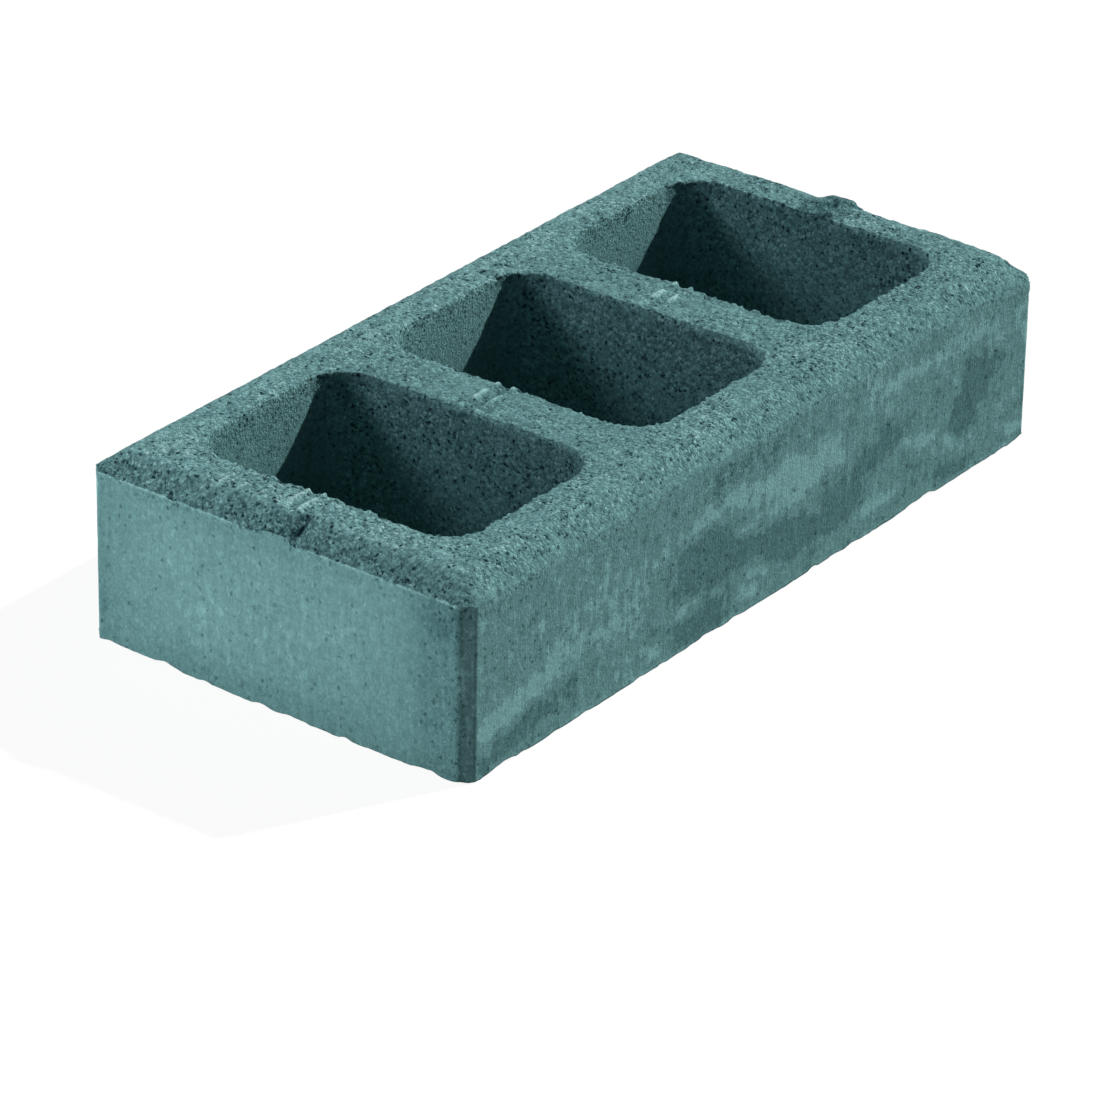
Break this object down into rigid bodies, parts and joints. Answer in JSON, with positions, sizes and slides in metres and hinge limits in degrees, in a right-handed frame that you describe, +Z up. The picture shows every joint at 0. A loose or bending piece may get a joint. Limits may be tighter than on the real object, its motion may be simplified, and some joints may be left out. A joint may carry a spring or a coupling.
{
  "type": "hollow concrete wall block",
  "caption": "Half-height concrete wall block with a row of tapered hollow cells and bevelled upper edges.",
  "frame": {"origin": "on the floor, under the centre of the block's bed face", "axes": "+X along the block's length, +Y across its width, +Z up, out of the pressed and bevelled face"},
  "size_m": [0.39, 0.19, 0.086],
  "materials": {
    "concrete": "matte"
  },
  "bodies": {
    "root": {"block": "concrete"}
  },
  "joints": []
}
